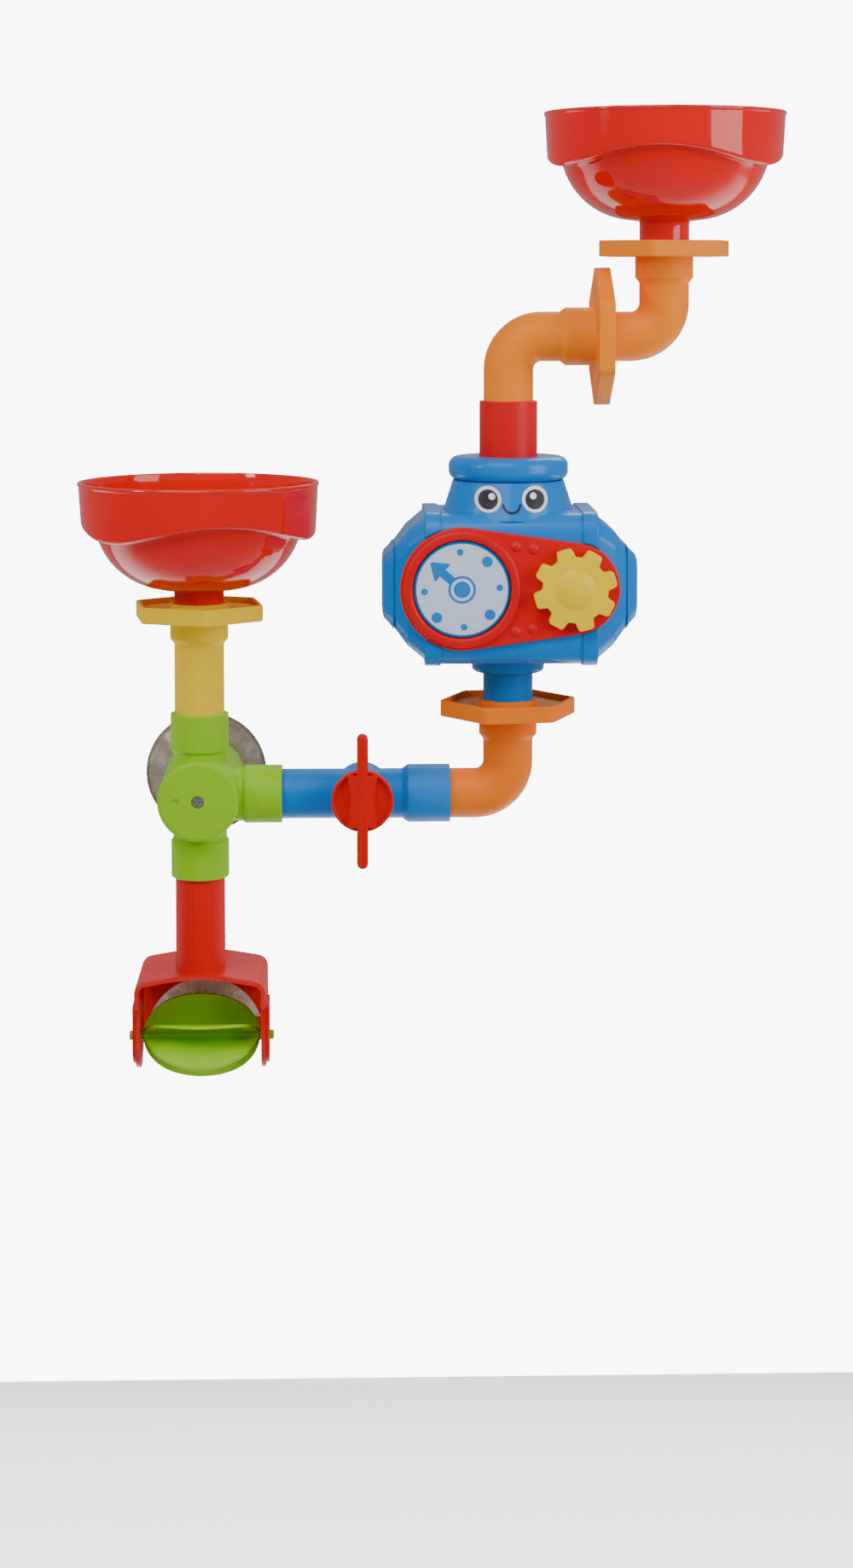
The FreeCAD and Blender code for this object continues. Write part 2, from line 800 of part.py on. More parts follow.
def belt(dial_radius_out, knob_radius_out, front, back):
    """Prism of the tear-drop outline round the dial and the knob."""
    lean = math.asin((dial_radius_out - knob_radius_out) / (knob_x - dial_x))
    arms = (math.sin(lean), math.cos(lean))

    def spot(x, radius, up):
        return Vector(x + radius * arms[0], front, panel_z + up * radius * arms[1])

    left_end = Vector(dial_x - dial_radius_out, front, panel_z)
    right_end = Vector(knob_x + knob_radius_out, front, panel_z)
    high = [spot(dial_x, dial_radius_out, 1), spot(knob_x, knob_radius_out, 1)]
    low = [spot(dial_x, dial_radius_out, -1), spot(knob_x, knob_radius_out, -1)]
    edges = [
        Part.Arc(low[0], left_end, high[0]).toShape(),
        Part.makeLine(high[0], high[1]),
        Part.Arc(high[1], right_end, low[1]).toShape(),
        Part.makeLine(low[1], low[0]),
    ]
    return Part.Face(Part.Wire(edges)).extrude(BACK * (back - front))


def neck_cone(inset):
    """Cone between the barrel and the neck ring, carried on down into the barrel."""
    slope = (cone_foot_radius - cone_top_radius) / (cone_top_z - cone_foot_z)
    foot = cone_foot_z if not inset else cone_foot_z - 8
    foot_radius = cone_foot_radius + slope * (cone_foot_z - foot) - inset
    if inset:
        foot_radius = cone_foot_radius - inset
    top = cone_top_z - (neck_plate if inset else 0)
    return turned([
        (0, foot),
        (foot_radius, foot),
        (cone_top_radius - inset, top),
        (0, top),
    ], Vector(body_x, pipe_y, 0))


def shell_solid():
    """Both half shells as one hollow solid, before they are parted."""
    front = pipe_y - barrel_middle[2]
    pad = belt(panel_dial_radius - pad_inset, panel_knob_radius - pad_inset, front, pipe_y - 10)
    cone_block = neck_cone(0)
    outside = fused([barrel(0), cone_block, pad] + hoops())
    room = panel_recess_gap
    outside = outside.cut(belt(panel_dial_radius + room, panel_knob_radius + room, front - 5, front))
    neck_lip = rod_z(neck_plate_radius, body_x, cone_top_z - 1, cone_top_z + neck_plate)
    outside = outside.fuse(neck_lip)
    inside = fused([barrel(body_wall), neck_cone(body_wall)])
    shape = outside.cut(inside)
    shape = shape.cut(rod_z(socket_radius + ring_clearance, body_x, cone_foot_z, cone_top_z + 10))
    return shape.cut(rod_z(collar_neck_radius, body_x, body_z - 60, body_z - barrel_middle[1] + 5))


def body_screw_places():
    return [(body_x + dx, body_z + dz) for dx, dz in body_screw_spots]


def front_shell():
    front = pipe_y - barrel_middle[2]
    shape = shell_solid().common(half_space(-200, pipe_y))
    additions = []
    for x in (dial_x, knob_x):
        additions.append(rod_y(shaft_boss_radius, x, panel_z, front + 1, gear_front - gear_side_gap))
    for x, z in body_screw_places():
        additions.append(rod_y(body_screw_boss, x, z, front + 3, pipe_y).common(barrel(body_wall / 2)))
    shape = fused([shape] + additions)
    for x in (dial_x, knob_x):
        shape = shape.cut(rod_y(shaft_radius + shaft_clearance, x, panel_z, front - 5, gear_front))
    for x, z in body_screw_places():
        shape = shape.cut(rod_y(screw_radius, x, z, body_screw_head_y - body_screw_length, pipe_y + 1))
    for x, z in peg_places():
        shape = shape.cut(rod_y(peg_radius, x, z, front - 1, front + peg_length))
    return shape


def rear_shell():
    back = pipe_y + barrel_middle[2]
    shape = shell_solid().common(half_space(pipe_y, 0))
    additions = [
        rod_y(shaft_boss_radius, dial_x, panel_z, rear_boss_front, back - 1),
        rod_y(shaft_boss_radius + 1, knob_x, panel_z, gear_front + gear_thickness + gear_side_gap, back - 1),
    ]
    additions.append(rod_y(cup_boss_radius, body_x, body_z, back - 1, -cup_height))
    for x, z in body_screw_places():
        additions.append(rod_y(body_screw_boss + body_screw_well_wall, x, z, pipe_y, back).common(barrel(0)))
    shape = fused([shape] + additions)
    hole = shaft_radius + shaft_clearance
    shape = shape.cut(rod_y(hole, dial_x, panel_z, rear_boss_front - over, back - blind_floor))
    knob_hole_back = knob_shaft_back + knob_shaft_slack
    shape = shape.cut(rod_y(hole, knob_x, panel_z, gear_front + gear_thickness, knob_hole_back))
    shape = shape.cut(cup_plug(body_x, body_z))
    for x, z in body_screw_places():
        shape = shape.cut(rod_y(screw_radius + screw_clearance, x, z, pipe_y - 1, back))
        well = screw_head_radius + screw_clearance
        shape = shape.cut(rod_y(well, x, z, body_screw_head_y - screw_head_height, back + 5))
    return shape


def body_screws():
    screws = []
    for x, z in body_screw_places():
        screws.append(screw(x, z, body_screw_head_y, body_screw_length, -1))
    return Part.makeCompound(screws)


def neck_ring():
    """Fat ring that clamps the two shells' neck and keeps the sleeve in."""
    top = cone_top_z + ring_height
    lip = neck_plate_radius + ring_clearance
    plate_top = cone_top_z + neck_plate
    flange_top = plate_top + sleeve_flange
    return turned([
        (lip, cone_top_z),
        (ring_radius, cone_top_z, ring_round),
        (ring_radius, top, ring_round),
        (socket_radius + ring_clearance, top, soft_edge),
        (socket_radius + ring_clearance, flange_top),
        (sleeve_flange_radius + ring_clearance, flange_top),
        (sleeve_flange_radius + ring_clearance, plate_top),
        (lip, plate_top),
    ], Vector(body_x, pipe_y, 0))


def red_sleeve():
    """Upright socket through which the water enters the body."""
    foot = cone_top_z + neck_plate
    return turned([
        (pipe_bore, sleeve_bottom),
        (socket_radius, sleeve_bottom),
        (socket_radius, foot),
        (sleeve_flange_radius, foot),
        (sleeve_flange_radius, foot + sleeve_flange),
        (socket_radius, foot + sleeve_flange),
        (socket_radius, sleeve_top, 0.5),
        (socket_bore, sleeve_top),
        (socket_bore, sleeve_top - socket_depth),
        (pipe_bore, sleeve_top - socket_depth),
    ], Vector(body_x, pipe_y, 0))


def outlet_spigot():
    """Flanged outlet held in the bottom of the two shells."""
    under = body_z - barrel_middle[1]
    floor = under + body_wall
    foot = low_reach - socket_depth
    return turned([
        (pipe_bore, foot),
        (pipe_radius, foot, 0.5),
        (pipe_radius, under - collar_height),
        (collar_radius - 1, under - collar_height, collar_round),
        (collar_radius, under),
        (collar_neck_radius, under),
        (collar_neck_radius, floor),
        (collar_lip_radius, floor),
        (collar_lip_radius, floor + collar_lip),
        (pipe_bore, floor + collar_lip),
    ], Vector(body_x, pipe_y, 0))


# ---- Face panel, dial, knob and the gear train ------------------------------------------------
def peg_places():
    """Pins behind the four rivets, which fix the panel to the front shell."""
    places = []
    for off_x, off_z in (rivet_first, rivet_second):
        for side in (-1, 1):
            places.append((dial_x + off_x, panel_z + side * off_z))
    return places


def face_panel():
    back = pipe_y - barrel_middle[2]
    front = back - panel_thickness
    plate = belt(panel_dial_radius, panel_knob_radius, front, back)
    rims = [e for e in plate.Edges if abs(e.BoundBox.YLength) < 1e-6 and e.BoundBox.YMin < front + 0.1]
    plate = plate.makeFillet(panel_edge, rims)
    bead = turned([
        (bead_inner, -0.5),
        (bead_outer, -0.5),
        (bead_outer, bead_height, bead_round),
        (bead_inner, bead_height, bead_round),
    ], Vector(dial_x, front, panel_z), -BACK)
    shape = plate.fuse(bead)
    for x, z in peg_places():
        ball = (rivet_radius ** 2 + rivet_height ** 2) / (2 * rivet_height)
        cap = Part.makeSphere(ball, Vector(x, front - rivet_height + ball, z))
        cap = cap.common(rod_y(rivet_radius, x, z, front - rivet_height - 1, front + 0.2))
        shape = shape.fuse(cap)
        shape = shape.fuse(rod_y(peg_radius, x, z, back - 0.5, back + peg_length))
    shape = shape.cut(rod_y(dial_radius + dial_gap, dial_x, panel_z, front - 5, back + 1))
    return shape.cut(rod_y(shaft_radius + knob_shaft_hole_gap, knob_x, panel_z, front - 5, back + 1)).removeSplitter()


def dial_back():
    return pipe_y - barrel_middle[2] - dial_gap


def dial_face():
    return dial_back() - dial_thickness


def label_face():
    return dial_face() - label_thickness


def dial_disc():
    disc = turned([
        (0, 0),
        (dial_radius, 0),
        (dial_radius, dial_thickness, 0.5),
        (0, dial_thickness),
    ], Vector(dial_x, dial_back(), panel_z), -BACK)
    seat = dial_back() - dial_shaft_seat
    return disc.cut(flatted_rod(shaft_radius, shaft_flat, dial_x, panel_z, seat, dial_back() + over))


def dial_label():
    return rod_y(label_radius, dial_x, panel_z, label_face(), dial_face())


def dial_marks():
    """Printed marks on the label: eight dots, an arrow and a hub ring."""
    front = label_face() - print_thickness
    marks = []
    for i in range(8):
        angle = math.radians(45 * i + dot_turn)
        radius = small_dot if i % 2 == 0 else large_dot
        if i == 3:
            continue
        x = dial_x + dot_ring * math.cos(angle)
        z = panel_z + dot_ring * math.sin(angle)
        marks.append(rod_y(radius, x, z, front, label_face()))
    ring = rod_y(hub_ring, dial_x, panel_z, front, label_face())
    ring = ring.cut(rod_y(hub_gap, dial_x, panel_z, front - 1, label_face() + 1))
    arrow = prism([
        (0, -arrow_shaft_half),
        (arrow_neck, -arrow_shaft_half),
        (arrow_neck - 0.6, -arrow_half_width, 0.7),
        (arrow_tip, 0, 0.9),
        (arrow_neck - 0.6, arrow_half_width, 0.7),
        (arrow_neck, arrow_shaft_half),
        (0, arrow_shaft_half),
    ], "y", front, label_face())
    arrow.rotate(Vector(), BACK, -arrow_turn)
    arrow.translate(Vector(dial_x, 0, panel_z))
    arrow = arrow.cut(rod_y(hub_gap + 0.4, dial_x, panel_z, front - 1, label_face() + 1))
    marks.append(ring.fuse(arrow))
    marks.append(rod_y(hub_disc, dial_x, panel_z, front, label_face()))
    return Part.makeCompound(marks)


def dial_shaft():
    front = dial_back() - dial_shaft_seat
    back = pipe_y + barrel_middle[2] - blind_floor - shaft_end_gap
    carrying = flatted_rod(shaft_radius, shaft_flat, dial_x, panel_z, front, wheel_back)
    return carrying.fuse(rod_y(shaft_radius, dial_x, panel_z, wheel_back, back))


def water_wheel():
    """Paddle wheel inside the body, in the right-hand side of the falling water."""
    blades = [rod_y(wheel_hub_radius, dial_x, panel_z, wheel_front, wheel_back)]
    for i in range(wheel_blades):
        blade = Part.makeBox(wheel_radius, wheel_back - wheel_front, wheel_blade,
                             Vector(0, wheel_front, -wheel_blade / 2))
        blade.rotate(Vector(), BACK, 360.0 * i / wheel_blades)
        blade.translate(Vector(dial_x, 0, panel_z))
        blades.append(blade)
    wheel = fused(blades)
    return wheel.cut(flatted_rod(shaft_radius, shaft_flat, dial_x, panel_z, wheel_front - 1, wheel_back + 1))


def involute_gear(x, first_tooth):
    """Spur gear about a shaft along Y, with one tooth centred on the angle first_tooth."""
    pitch = (knob_x - dial_x) / 2
    module = 2 * pitch / gear_teeth
    base = pitch * math.cos(math.radians(pressure_angle))
    tip = pitch + module
    root = pitch - 1.25 * module
    turn_at_pitch = math.tan(math.radians(pressure_angle)) - math.radians(pressure_angle)
    half_tooth = math.pi / (2 * gear_teeth) - gear_backlash / (2 * pitch) + turn_at_pitch
    profile = []
    start = max(base, root)
    for step in range(5):
        radius = start + (tip - start) * step / 4
        roll = math.sqrt(max((radius / base) ** 2 - 1, 0))
        profile.append((radius, half_tooth - (roll - math.atan(roll))))
    edges = []
    gear_back = gear_front + gear_thickness

    def spot(radius, angle):
        return Vector(x + radius * math.cos(angle), gear_front, panel_z + radius * math.sin(angle))

    step_angle = 2 * math.pi / gear_teeth
    for i in range(gear_teeth):
        middle = math.radians(first_tooth) + step_angle * i
        right = [spot(r, middle - a) for r, a in profile]
        left = [spot(r, middle + a) for r, a in reversed(profile)]
        low_right = spot(root, middle - profile[0][1])
        low_left = spot(root, middle + profile[0][1])
        next_right = spot(root, middle + step_angle - profile[0][1])
        right_curve = Part.BSplineCurve()
        right_curve.interpolate(right)
        left_curve = Part.BSplineCurve()
        left_curve.interpolate(left)
        edges.append(Part.makeLine(low_right, right[0]))
        edges.append(right_curve.toShape())
        edges.append(Part.Arc(right[-1], spot(tip, middle), left[0]).toShape())
        edges.append(left_curve.toShape())
        edges.append(Part.makeLine(left[-1], low_left))
        edges.append(Part.Arc(low_left, spot(root, middle + step_angle / 2), next_right).toShape())
    gear = Part.Face(Part.Wire(edges)).extrude(BACK * (gear_back - gear_front))
    return gear.cut(flatted_rod(shaft_radius, shaft_flat, x, panel_z, gear_front - 1, gear_back + 1))


def dial_gear():
    return involute_gear(dial_x, 0)


def knob_gear():
    return involute_gear(knob_x, 0)


def knob_back():
    return pipe_y - barrel_middle[2] - panel_thickness - knob_gap


def gear_knob():
    """Yellow knob shaped as a gear, with a domed middle."""
    back = knob_back()
    front = back - knob_thickness
    corners = []
    for i in range(knob_teeth):
        angle = math.radians(knob_turn + 360.0 * i / knob_teeth)
        out = (math.cos(angle), math.sin(angle))
        side = (-out[1], out[0])
        for reach, half, rounding in (
            (knob_root, -knob_tooth_half_root, knob_root_round),
            (knob_tip, -knob_tooth_half_tip, knob_tip_round),
            (knob_tip, knob_tooth_half_tip, knob_tip_round),
            (knob_root, knob_tooth_half_root, knob_root_round),
        ):
            corners.append((
                knob_x + reach * out[0] + half * side[0],
                panel_z + reach * out[1] + half * side[1],
                rounding,
            ))
    plate = prism(corners, "y", front, back)
    rims = [e for e in plate.Edges if abs(e.BoundBox.YLength) < 1e-6 and e.BoundBox.YMin < front + 0.1]
    plate = plate.makeFillet(0.6, rims)
    ball = (knob_dome_radius ** 2 + knob_dome_height ** 2) / (2 * knob_dome_height)
    dome = Part.makeSphere(ball, Vector(knob_x, front - knob_dome_height + ball, panel_z))
    dome = dome.common(rod_y(knob_dome_radius, knob_x, panel_z, front - 10, front + 0.5))
    shape = plate.fuse(dome)
    return shape.cut(flatted_rod(shaft_radius, shaft_flat, knob_x, panel_z, knob_shaft_front(), back + 1))


def knob_shaft_front():
    return knob_back() - knob_thickness + knob_shaft_cover


def knob_shaft():
    gear_back = gear_front + gear_thickness
    carried = flatted_rod(shaft_radius, shaft_flat, knob_x, panel_z, knob_shaft_front(), gear_back)
    return carried.fuse(rod_y(shaft_radius, knob_x, panel_z, gear_back, knob_shaft_back))


# ---- Printed face ------------------------------------------------------------------------------
def face_skin(level):
    """Thin layer over the neck cone, between one print level and the next."""
    def cone(grow):
        return turned([
            (0, cone_foot_z),
            (cone_foot_radius + grow, cone_foot_z),
            (cone_top_radius + grow, cone_top_z),
            (0, cone_top_z),
        ], Vector(body_x, pipe_y, 0))
    return cone((level + 1) * face_layer).cut(cone(level * face_layer))


def printed(level, stamps):
    """What the stamps, carried along Y, cut out of one print layer."""
    skin = face_skin(level).common(half_space(-200, pipe_y - 10))
    return [skin.common(stamp) for stamp in stamps]


def disc_stamp(x, z, radius):
    return rod_y(radius, x, z, pipe_y - 60, pipe_y)


def eye_whites():
    stamps = [disc_stamp(body_x + side * eye_offset, eye_z, eye_radius) for side in (-1, 1)]
    return Part.makeCompound(printed(0, stamps))


def smile_and_pupils():
    stamps = [disc_stamp(body_x + side * eye_offset, eye_z, pupil_radius) for side in (-1, 1)]
    pieces = printed(1, stamps)
    ring = disc_stamp(body_x, smile_z, smile_radius + smile_width / 2)
    ring = ring.cut(disc_stamp(body_x, smile_z, smile_radius - smile_width / 2))
    lower = Part.makeBox(far, far, far, Vector(body_x - far / 2, -far / 2, smile_z - far))
    pieces += printed(0, [ring.common(lower)])
    return Part.makeCompound(pieces)


def eye_glints():
    stamps = []
    for side, (off_x, off_z) in ((-1, left_glint), (1, right_glint)):
        stamps.append(disc_stamp(body_x + side * eye_offset + off_x, eye_z + off_z, glint_radius))
    return Part.makeCompound(printed(2, stamps))


# ---- Spout yoke and splash wheel ------------------------------------------------------------------
def hood_outline(inset):
    """Crowned top, rounded shoulders and short sides, as seen from the front."""
    half = hood_half_width - inset
    crown = hood_crown_z - inset
    return [
        (-half, hood_side_z),
        (-half, hood_shoulder_z - inset, hood_round - inset),
        (0, crown, hood_crown_round),
        (half, hood_shoulder_z - inset, hood_round - inset),
        (half, hood_side_z),
    ]


def spout_yoke():
    """Spout pipe with a hood, two ears for the splash wheel and a back wall for its cup."""
    foot = -(tee_reach - socket_depth)
    pipe = rod_z(pipe_radius, 0, hood_crown_z - 4, foot)
    hood = prism(hood_outline(0), "y", hood_front, hood_back)
    hollow = prism(hood_outline(hood_wall), "y", hood_front - 1, hood_back - hood_wall)
    inner_half = hood_half_width - hood_wall
    drop = hood_side_z - bar_bottom + over
    below = Part.makeBox(2 * inner_half, hood_back - hood_wall - hood_front + over, drop,
                         Vector(-inner_half, hood_front - over, hood_side_z - drop))
    hollow = hollow.fuse(below)
    pieces = [hood, pipe]
    for side in (-1, 1):
        outer = side * hood_half_width
        low, high = sorted((outer, side * inner_half))
        ear_top = hood_side_z + ear_overlap
        pieces.append(prism([
            (axle_y - ear_radius, ear_top),
            (axle_y - ear_radius, axle_z - ear_radius, ear_radius * tight_end),
            (axle_y + ear_radius, axle_z - ear_radius, ear_radius * tight_end),
            (axle_y + ear_radius, ear_top),
        ], "x", low, high))
        low, high = sorted((outer, side * (hood_half_width + ear_boss)))
        boss_foot = axle_z - ear_boss_radius - ear_boss_drop
        pieces.append(prism([
            (axle_y - ear_boss_radius, ear_boss_top, 1.5),
            (axle_y - ear_boss_radius, boss_foot, ear_boss_radius * tight_end),
            (axle_y + ear_boss_radius, boss_foot, ear_boss_radius * tight_end),
            (axle_y + ear_boss_radius, ear_boss_top, 1.5),
        ], "x", low, high))
    wall = prism([
        (-hood_half_width, hood_side_z + ear_overlap),
        (-hood_half_width, bar_top - bar_shoulder, bar_round),
        (-bar_foot_half, bar_bottom, bar_round),
        (bar_foot_half, bar_bottom, bar_round),
        (hood_half_width, bar_top - bar_shoulder, bar_round),
        (hood_half_width, hood_side_z + ear_overlap),
    ], "y", hood_back - hood_wall, hood_back)
    pieces.append(wall)
    pieces.append(rod_y(cup_boss_radius, 0, yoke_cup_z, hood_back - hood_wall, -cup_height))
    shape = fused(pieces).cut(hollow)
    arch = rod_y(arch_radius, 0, arch_z, hood_back - hood_wall - 1, hood_back + 1)
    above_bar = Part.makeBox(far, far, far, Vector(-far / 2, -far / 2, bar_top))
    shape = shape.cut(arch.common(above_bar))
    shape = shape.cut(rod_z(pipe_bore, 0, hood_crown_z - 10, foot + 1))
    bore = axle_radius + axle_clearance
    ends = hood_half_width + ear_boss + 5
    shape = shape.cut(rod(bore, Vector(-ends, axle_y, axle_z), Vector(ends, axle_y, axle_z)))
    return shape.cut(cup_plug(0, yoke_cup_z)).removeSplitter()


def splash_wheel():
    """Six scooped blades with rounded outlines on one moulded axle."""
    reach = hood_half_width + ear_boss + axle_proud
    axle = rod(axle_radius, Vector(-reach, 0, 0), Vector(reach, 0, 0))
    hub = rod(splash_hub_radius, Vector(-splash_half_width, 0, 0), Vector(splash_half_width, 0, 0))
    blades = []
    sag = splash_curl - math.sqrt(splash_curl ** 2 - (splash_radius / 2) ** 2)
    for i in range(splash_blades):
        half = splash_blade / 2
        middle = splash_radius / 2
        face_edges = [
            Part.Arc(Vector(0, 0, half), Vector(0, middle, half - sag), Vector(0, splash_radius, half)),
            Part.LineSegment(Vector(0, splash_radius, half), Vector(0, splash_radius, -half)),
            Part.Arc(Vector(0, splash_radius, -half), Vector(0, middle, -half - sag), Vector(0, 0, -half)),
            Part.LineSegment(Vector(0, 0, -half), Vector(0, 0, half)),
        ]
        face = Part.Face(Part.Wire([e.toShape() for e in face_edges]))
        blade = face.extrude(RIGHT * (2 * splash_half_width))
        blade.translate(RIGHT * -splash_half_width)
        blade.rotate(Vector(), RIGHT, 180 - splash_turn - 360.0 * i / splash_blades)
        blades.append(blade)
    outline = Part.makeSphere(1.0)
    stretch = FreeCAD.Matrix()
    stretch.scale(splash_half_width + splash_outline_gap, splash_radius, splash_radius)
    outline = outline.transformGeometry(stretch)
    blades = [b.common(outline) for b in blades]
    shape = fused([axle, hub] + blades)
    shape.translate(Vector(0, axle_y, axle_z))
    return shape


# ---- Write every piece ----------------------------------------------------------------------------
def sub_parts():
    left_mouth = yellow_flange_top
    right_mouth = upper_axis_z + top_reach
    return {
        "tee_body": tee_body(),
        "tee_base": tee_base(),
        "tee_screw": screw(0, 0, drum_front + screw_sink, tee_screw_length, 1),
        "tee_cup": suction_cup(0, 0),
        "yellow_pipe": yellow_pipe(),
        "left_funnel": funnel(0, left_mouth, left_insert - end_gap, left_funnel_turn),
        "valve_pipe": valve_pipe(),
        "valve_plug": valve_plug(),
        "valve_seal": seal_ring(),
        "valve_cap": valve_cap(),
        "valve_handle": valve_handle(),
        "low_elbow": low_elbow(),
        "outlet_spigot": outlet_spigot(),
        "front_shell": front_shell(),
        "rear_shell": rear_shell(),
        "body_screws": body_screws(),
        "body_cup": suction_cup(body_x, body_z),
        "neck_ring": neck_ring(),
        "red_sleeve": red_sleeve(),
        "face_panel": face_panel(),
        "dial_disc": dial_disc(),
        "dial_label": dial_label(),
        "dial_marks": dial_marks(),
        "dial_shaft": dial_shaft(),
        "dial_gear": dial_gear(),
        "water_wheel": water_wheel(),
        "knob_gear": knob_gear(),
        "knob_shaft": knob_shaft(),
        "gear_knob": gear_knob(),
        "eye_whites": eye_whites(),
        "smile_and_pupils": smile_and_pupils(),
        "eye_glints": eye_glints(),
        "mid_elbow": mid_elbow(),
        "top_elbow": top_elbow(),
        "right_funnel": funnel(right_axis_x, right_mouth, right_insert, right_funnel_turn),
        "spout_yoke": spout_yoke(),
        "splash_wheel": splash_wheel(),
        "yoke_cup": suction_cup(0, yoke_cup_z),
    }


os.makedirs("parts", exist_ok=True)
for name, shape in sub_parts().items():
    shape.exportStep("parts/" + name + ".step")
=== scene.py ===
import json
import math

import bpy
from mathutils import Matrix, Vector


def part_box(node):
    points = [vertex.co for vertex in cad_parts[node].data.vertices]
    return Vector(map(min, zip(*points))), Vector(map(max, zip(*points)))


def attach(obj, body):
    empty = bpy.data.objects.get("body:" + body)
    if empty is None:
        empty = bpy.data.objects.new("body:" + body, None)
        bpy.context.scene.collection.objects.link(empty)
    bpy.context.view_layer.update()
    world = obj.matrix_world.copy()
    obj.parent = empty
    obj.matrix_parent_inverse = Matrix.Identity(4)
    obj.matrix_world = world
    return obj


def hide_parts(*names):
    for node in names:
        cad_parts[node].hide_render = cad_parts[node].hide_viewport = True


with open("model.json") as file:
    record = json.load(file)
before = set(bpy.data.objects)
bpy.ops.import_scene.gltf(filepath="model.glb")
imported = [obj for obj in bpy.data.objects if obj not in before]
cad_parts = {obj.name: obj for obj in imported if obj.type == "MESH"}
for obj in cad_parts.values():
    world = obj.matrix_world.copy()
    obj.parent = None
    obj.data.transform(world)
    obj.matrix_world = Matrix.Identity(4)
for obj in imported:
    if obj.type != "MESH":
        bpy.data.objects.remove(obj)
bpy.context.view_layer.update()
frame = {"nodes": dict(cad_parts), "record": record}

# ---- Suction cups ---------------------------------------------------------------------------
# Dished cups moulded in soft clear vinyl, which has yellowed to a smoky tan. Each has a thin
# sealing rim that lies on the wall and a mushroom stem that snaps into the boss in front of it.


def turned_piece(name, profile, place, along, steps, material):
    """Mesh turned about an axis through place; profile gives (radius, distance along the axis)."""
    across = Vector((0, 0, 1)).cross(along)
    if across.length < 0.5:
        across = Vector((1, 0, 0))
    across.normalize()
    third = along.cross(across)
    points, faces = [], []
    for i in range(steps):
        angle = 2 * math.pi * i / steps
        outward = across * math.cos(angle) + third * math.sin(angle)
        ring = profile(angle) if callable(profile) else profile
        points += [place + outward * r + along * h for r, h in ring]
    count = len(points) // steps
    for i in range(steps):
        here, following = i * count, (i + 1) % steps * count
        for k in range(count):
            after = (k + 1) % count
            faces.append((here + k, following + k, following + after, here + after))
    mesh = bpy.data.meshes.new(name)
    mesh.from_pydata(points, [], faces)
    mesh.validate()
    mesh.polygons.foreach_set("use_smooth", [True] * len(mesh.polygons))
    mesh.set_sharp_from_angle(angle=math.radians(38))
    mesh.materials.append(material)
    piece = bpy.data.objects.new(name, mesh)
    bpy.context.scene.collection.objects.link(piece)
    return piece


def arc(centre, radius, start, end, steps):
    """Points of an arc in a profile, its angles in degrees."""
    spots = []
    for i in range(steps + 1):
        a = math.radians(start + (end - start) * i / steps)
        spots.append((centre[0] + radius * math.cos(a), centre[1] + radius * math.sin(a)))
    return spots


def join(tree, start, end):
    """Wires one node's output to another's input."""
    tree.links.new(start, end)


def soft_clear_vinyl(name):
    """Smoky clear vinyl with faint spokes from the mould, cloudy patches and a darker sealing rim."""
    material = bpy.data.materials.new(name)
    material.use_nodes = True
    tree = material.node_tree
    shader = tree.nodes["Principled BSDF"]
    shader.inputs["IOR"].default_value = 1.52
    shader.inputs["Transmission Weight"].default_value = 0.42
    shader.inputs["Coat Weight"].default_value = 0.3
    shader.inputs["Coat Roughness"].default_value = 0.12
    where = tree.nodes.new("ShaderNodeAttribute")
    where.attribute_name = "on_cup"
    parts = tree.nodes.new("ShaderNodeSeparateXYZ")
    join(tree, where.outputs["Vector"], parts.inputs[0])
    spokes = tree.nodes.new("ShaderNodeTexWave")
    spokes.bands_direction = "X"
    spokes.inputs["Scale"].default_value = 9.0
    spokes.inputs["Distortion"].default_value = 1.2
    spokes.inputs["Detail Scale"].default_value = 2.0
    join(tree, where.outputs["Vector"], spokes.inputs["Vector"])
    cloud = tree.nodes.new("ShaderNodeTexNoise")
    cloud.inputs["Scale"].default_value = 3.0
    cloud.inputs["Detail"].default_value = 5.0
    join(tree, where.outputs["Vector"], cloud.inputs["Vector"])
    tint = tree.nodes.new("ShaderNodeValToRGB")
    tint.color_ramp.elements[0].position = 0.3
    tint.color_ramp.elements[0].color = (0.35, 0.28, 0.19, 1)
    tint.color_ramp.elements[1].position = 0.75
    tint.color_ramp.elements[1].color = (0.52, 0.45, 0.35, 1)
    join(tree, cloud.outputs["Fac"], tint.inputs["Fac"])
    streaked = tree.nodes.new("ShaderNodeMix")
    streaked.data_type = "RGBA"
    streaked.blend_type = "SOFT_LIGHT"
    streaked.inputs["Factor"].default_value = 0.22
    join(tree, tint.outputs["Color"], streaked.inputs["A"])
    join(tree, spokes.outputs["Color"], streaked.inputs["B"])
    edge = tree.nodes.new("ShaderNodeValToRGB")
    edge.color_ramp.elements[0].position = 0.93
    edge.color_ramp.elements[0].color = (1, 1, 1, 1)
    edge.color_ramp.elements[1].position = 0.97
    edge.color_ramp.elements[1].color = (0.5, 0.47, 0.42, 1)
    join(tree, parts.outputs["Y"], edge.inputs["Fac"])
    rimmed = tree.nodes.new("ShaderNodeMix")
    rimmed.data_type = "RGBA"
    rimmed.blend_type = "MULTIPLY"
    rimmed.inputs["Factor"].default_value = 1.0
    join(tree, streaked.outputs["Result"], rimmed.inputs["A"])
    join(tree, edge.outputs["Color"], rimmed.inputs["B"])
    join(tree, rimmed.outputs["Result"], shader.inputs["Base Color"])
    cloudy = tree.nodes.new("ShaderNodeMapRange")
    cloudy.inputs["To Min"].default_value = 0.16
    cloudy.inputs["To Max"].default_value = 0.34
    join(tree, cloud.outputs["Fac"], cloudy.inputs["Value"])
    join(tree, cloudy.outputs["Result"], shader.inputs["Roughness"])
    relief = tree.nodes.new("ShaderNodeBump")
    relief.inputs["Strength"].default_value = 0.25
    relief.inputs["Distance"].default_value = 0.0006
    join(tree, spokes.outputs["Fac"], relief.inputs["Height"])
    join(tree, relief.outputs["Normal"], shader.inputs["Normal"])
    return material


